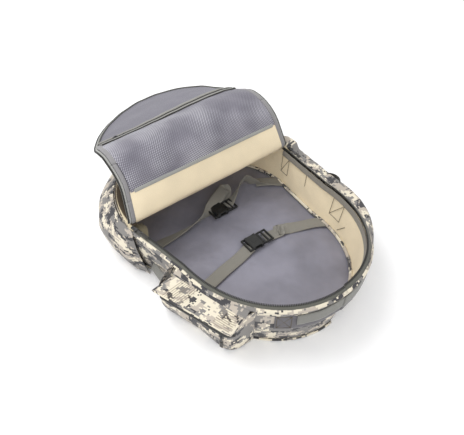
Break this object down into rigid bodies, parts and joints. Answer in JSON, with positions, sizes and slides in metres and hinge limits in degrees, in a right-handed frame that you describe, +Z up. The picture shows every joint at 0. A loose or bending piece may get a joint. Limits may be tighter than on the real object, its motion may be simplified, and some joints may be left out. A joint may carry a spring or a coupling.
{
  "type": "spotting scope backpack",
  "caption": "Clamshell field backpack lying open on its back: padded shell, folded-back mesh-pocket lid, side pockets, pouch, interior cinch straps and shoulder harness.",
  "frame": {"origin": "on the flat resting face of the spine pad, under the middle of the pack", "axes": "+X towards the pack's top end, +Z up out of the open compartment, -Y the side with the zipped pouch"},
  "size_m": [0.6228, 0.4438, 0.2182],
  "materials": {
    "camo": "woven polyester, digital camouflage print",
    "tan_lining": "plain woven lining",
    "grey_padding": "coated nylon over foam",
    "mesh": "knitted mesh",
    "binding": "folded grosgrain binding",
    "webbing": "ribbed webbing",
    "zipper_tape": "zipper tape and coil",
    "plastic": "moulded acetal",
    "metal": "dark painted die casting"
  },
  "bodies": {
    "pack": {"back_panel": "grey_padding", "wall_bottom_near": "camo", "wall_side_near": "camo", "wall_top_near": "camo", "rim_zipper_tape_near": "zipper_tape", "wall_bottom_far": "camo", "wall_side_far": "camo", "wall_top_far": "camo", "rim_zipper_tape_far": "zipper_tape", "lower_front_panel": "camo", "corner_pocket_near": "camo", "corner_pocket_far": "camo", "side_pouch": "camo", "buckle_a_female": "plastic", "strap_a_far": "webbing", "strap_a_near": "webbing", "buckle_b_female": "plastic", "strap_b_far": "webbing", "strap_b_near": "webbing", "top_webbing_near": "webbing", "top_webbing_far": "webbing", "pouch_webbing": "webbing", "lumbar_pad": "grey_padding", "spine_pad": "grey_padding", "upper_back_pad": "grey_padding", "shoulder_strap_near": "grey_padding", "strap_webbing_near": "webbing", "shoulder_strap_far": "grey_padding", "strap_webbing_far": "webbing"},
    "lid_lower": {"lid_lower_panel": "tan_lining"},
    "lid_mid": {"lid_mid_panel": "camo", "mesh_pocket_mid": "mesh"},
    "lid_upper": {"lid_upper_panel": "camo", "mesh_pocket_upper": "mesh", "mesh_zipper_tape": "zipper_tape", "lid_binding_near": "binding", "lid_binding_far": "binding", "lid_webbing_1": "webbing", "lid_webbing_2": "webbing", "lid_webbing_3": "webbing"},
    "sternum_near": {"sternum_slider_near": "plastic", "sternum_webbing_near": "webbing", "sternum_buckle_female": "plastic"},
    "sternum_far": {"sternum_slider_far": "plastic", "sternum_webbing_far": "webbing"},
    "sternum_male": {"sternum_buckle_male": "plastic"},
    "main_near_slider": {"main_near_slider": "metal"},
    "main_near_pull": {"main_near_pull": "metal"},
    "main_far_slider": {"main_far_slider": "metal"},
    "main_far_pull": {"main_far_pull": "metal"},
    "mesh_slider": {"mesh_slider": "metal"},
    "mesh_pull": {"mesh_pull": "metal"},
    "pouch_slider": {"pouch_slider": "metal"},
    "pouch_pull": {"pouch_pull": "metal"},
    "pouch_flap": {"pouch_flap": "camo"},
    "buckle_a_male": {"buckle_a_male": "plastic"},
    "buckle_b_male": {"buckle_b_male": "plastic"},
    "ladder_lock_near": {"ladder_lock_near": "plastic"},
    "ladder_lock_far": {"ladder_lock_far": "plastic"},
    "grab_handle": {"grab_handle": "webbing"}
  },
  "joints": [
    {"name": "lid_hinge", "type": "hinge", "parent": "pack", "child": "lid_lower", "pos_m": [-0.079, 0, 0.109], "axis": [0, -1, 0], "range_deg": [-110, 0]},
    {"name": "lid_fold_low", "type": "hinge", "parent": "lid_lower", "child": "lid_mid", "pos_m": [-0.11182, 0, 0.18632], "axis": [0, -1, 0], "range_deg": [-39.5, 0]},
    {"name": "lid_fold_high", "type": "hinge", "parent": "lid_mid", "child": "lid_upper", "pos_m": [-0.16552, 0, 0.21309], "axis": [0, -1, 0], "range_deg": [-39.5, 0]},
    {"name": "main_near_slide", "type": "slide", "parent": "pack", "child": "main_near_slider", "axis": [0.9908, 0.1354, 0], "range_m": [0, 0.105]},
    {"name": "main_near_pull_swing", "type": "hinge", "parent": "main_near_slider", "child": "main_near_pull", "pos_m": [-0.05683, -0.19157, 0.1106], "axis": [0.1354, -0.9908, 0], "range_deg": [0, 100]},
    {"name": "main_far_slide", "type": "slide", "parent": "pack", "child": "main_far_slider", "axis": [0.9908, -0.1354, 0], "range_m": [0, 0.105]},
    {"name": "main_far_pull_swing", "type": "hinge", "parent": "main_far_slider", "child": "main_far_pull", "pos_m": [-0.05683, 0.19157, 0.1106], "axis": [-0.1354, -0.9908, 0], "range_deg": [0, 100]},
    {"name": "mesh_slide", "type": "slide", "parent": "lid_upper", "child": "mesh_slider", "axis": [0, 1, 0], "range_m": [0, 0.235]},
    {"name": "mesh_pull_swing", "type": "hinge", "parent": "mesh_slider", "child": "mesh_pull", "pos_m": [-0.22145, -0.1166, 0.20801], "axis": [0.9703, 0, 0.2419], "range_deg": [0, 100]},
    {"name": "pouch_slide", "type": "slide", "parent": "pack", "child": "pouch_slider", "axis": [-0.9597, -0.2812, 0], "range_m": [0, 0.125]},
    {"name": "pouch_pull_swing", "type": "hinge", "parent": "pouch_slider", "child": "pouch_pull", "pos_m": [0.17479, -0.18358, 0.04162], "axis": [-0.9597, -0.2812, 0], "range_deg": [0, 100]},
    {"name": "pouch_flap_hinge", "type": "hinge", "parent": "pack", "child": "pouch_flap", "pos_m": [0.06223, -0.19089, 0.09977], "axis": [-0.968, -0.251, 0], "range_deg": [0, 110]},
    {"name": "buckle_a_release", "type": "slide", "parent": "pack", "child": "buckle_a_male", "axis": [0.0091, 1, 0], "range_m": [0, 0.03]},
    {"name": "buckle_b_release", "type": "slide", "parent": "pack", "child": "buckle_b_male", "axis": [0.0404, 0.9992, 0], "range_m": [0, 0.03]},
    {"name": "sternum_near_slide", "type": "slide", "parent": "pack", "child": "sternum_near", "axis": [1, 0, 0], "range_m": [-0.012, 0.012]},
    {"name": "sternum_far_slide", "type": "slide", "parent": "pack", "child": "sternum_far", "axis": [1, 0, 0], "range_m": [-0.012, 0.012]},
    {"name": "sternum_release", "type": "slide", "parent": "sternum_far", "child": "sternum_male", "axis": [0, 1, 0], "range_m": [0, 0.017]},
    {"name": "strap_adjuster_near", "type": "slide", "parent": "pack", "child": "ladder_lock_near", "axis": [-1, 0, 0], "range_m": [0, 0.05]},
    {"name": "strap_adjuster_far", "type": "slide", "parent": "pack", "child": "ladder_lock_far", "axis": [-1, 0, 0], "range_m": [0, 0.05]},
    {"name": "grab_handle_swing", "type": "hinge", "parent": "pack", "child": "grab_handle", "pos_m": [0.2355, 0, 0.004], "axis": [0, -1, 0], "range_deg": [0, 140]}
  ],
  "couplings": [
    {"joint": "lid_fold_low", "follows": "lid_hinge", "ratio": 0.35836},
    {"joint": "lid_fold_high", "follows": "lid_hinge", "ratio": 0.35836},
    {"joint": "sternum_far_slide", "follows": "sternum_near_slide", "ratio": 1}
  ]
}
